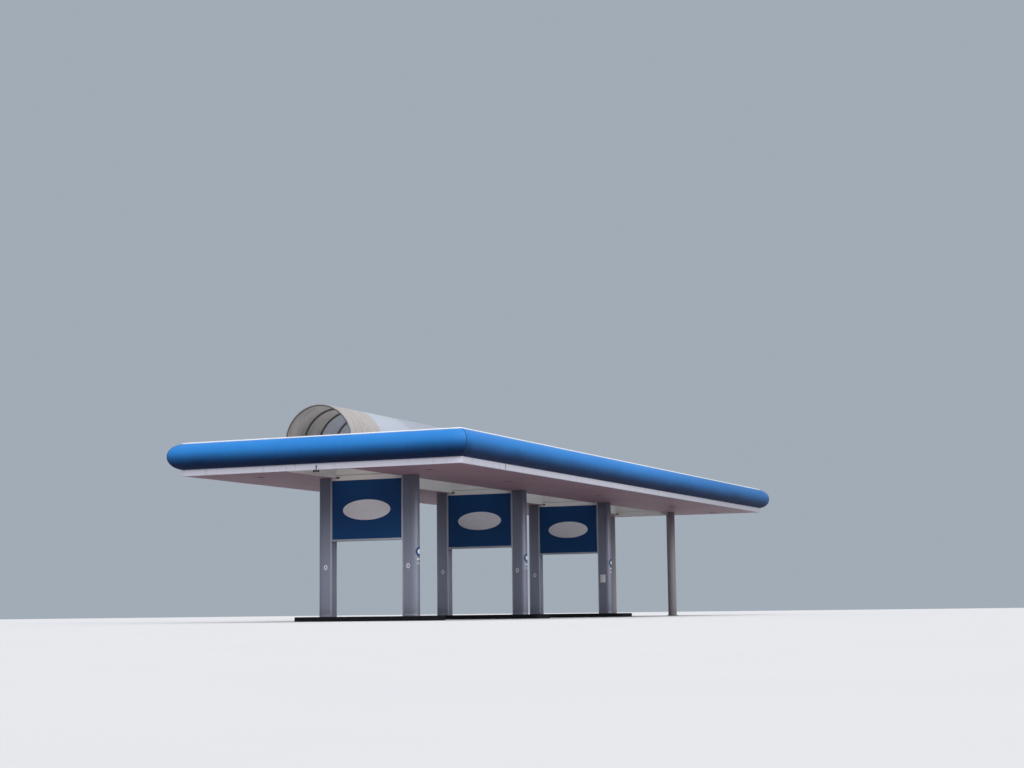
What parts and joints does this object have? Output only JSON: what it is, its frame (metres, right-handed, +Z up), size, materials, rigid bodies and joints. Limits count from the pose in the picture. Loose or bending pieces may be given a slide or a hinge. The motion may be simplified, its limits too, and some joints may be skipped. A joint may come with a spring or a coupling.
{
  "type": "filling station canopy",
  "caption": "Flat filling station canopy on paired clad columns and low islands, with a mitred bullnose fascia, sign boxes and a barrel vault over a ceiling slot.",
  "frame": {"origin": "on the ground under the middle of the roof", "axes": "+Z up, +Y along the roof away from the road end, +X across the roof to the right seen from the road end"},
  "size_m": [10.68, 32.98, 6.778],
  "materials": {
    "kerb_black": "painted concrete, worn",
    "column_silver": "silver-grey cladding, satin",
    "sign_blue": "dark blue acrylic light box",
    "frame_grey": "satin frame",
    "cream_casing": "cream sheet casing, satin",
    "ceiling_white": "white linear panels, satin",
    "deck_grey": "profiled steel sheet, weathered",
    "band_white": "white sheet, satin",
    "fascia_blue": "blue coated sheet, semi-gloss",
    "sheet_aged": "weathered translucent sheet",
    "sheet_clear": "translucent sheet",
    "rib_dark": "dark steel ribs",
    "rim_light": "satin edge profile",
    "light_dark": "dark housing"
  },
  "bodies": {
    "root": {"island_1": "kerb_black", "island_2": "kerb_black", "island_3": "kerb_black", "columns_1": "column_silver", "columns_2": "column_silver", "columns_3": "column_silver", "columns_4": "column_silver", "sign_1": "sign_blue", "sign_2": "sign_blue", "sign_3": "sign_blue", "sign_frames": "frame_grey", "headers": "cream_casing", "beam_1": "cream_casing", "beam_2": "cream_casing", "beam_3": "cream_casing", "beam_4": "cream_casing", "ceiling_left": "ceiling_white", "ceiling_right": "ceiling_white", "slot_wall_left": "cream_casing", "slot_wall_right": "cream_casing", "slot_ends": "cream_casing", "deck_left": "deck_grey", "deck_right": "deck_grey", "band_front": "band_white", "band_rear": "band_white", "band_left": "band_white", "band_right": "band_white", "bullnose_front": "fascia_blue", "bullnose_rear": "fascia_blue", "bullnose_left": "fascia_blue", "bullnose_right": "fascia_blue", "fascia_trim": "band_white", "vault_sheets_front": "sheet_aged", "vault_sheets": "sheet_clear", "vault_ribs": "rib_dark", "vault_rims": "rim_light", "ceiling_lights": "light_dark", "front_lamp": "light_dark"}
  },
  "joints": []
}
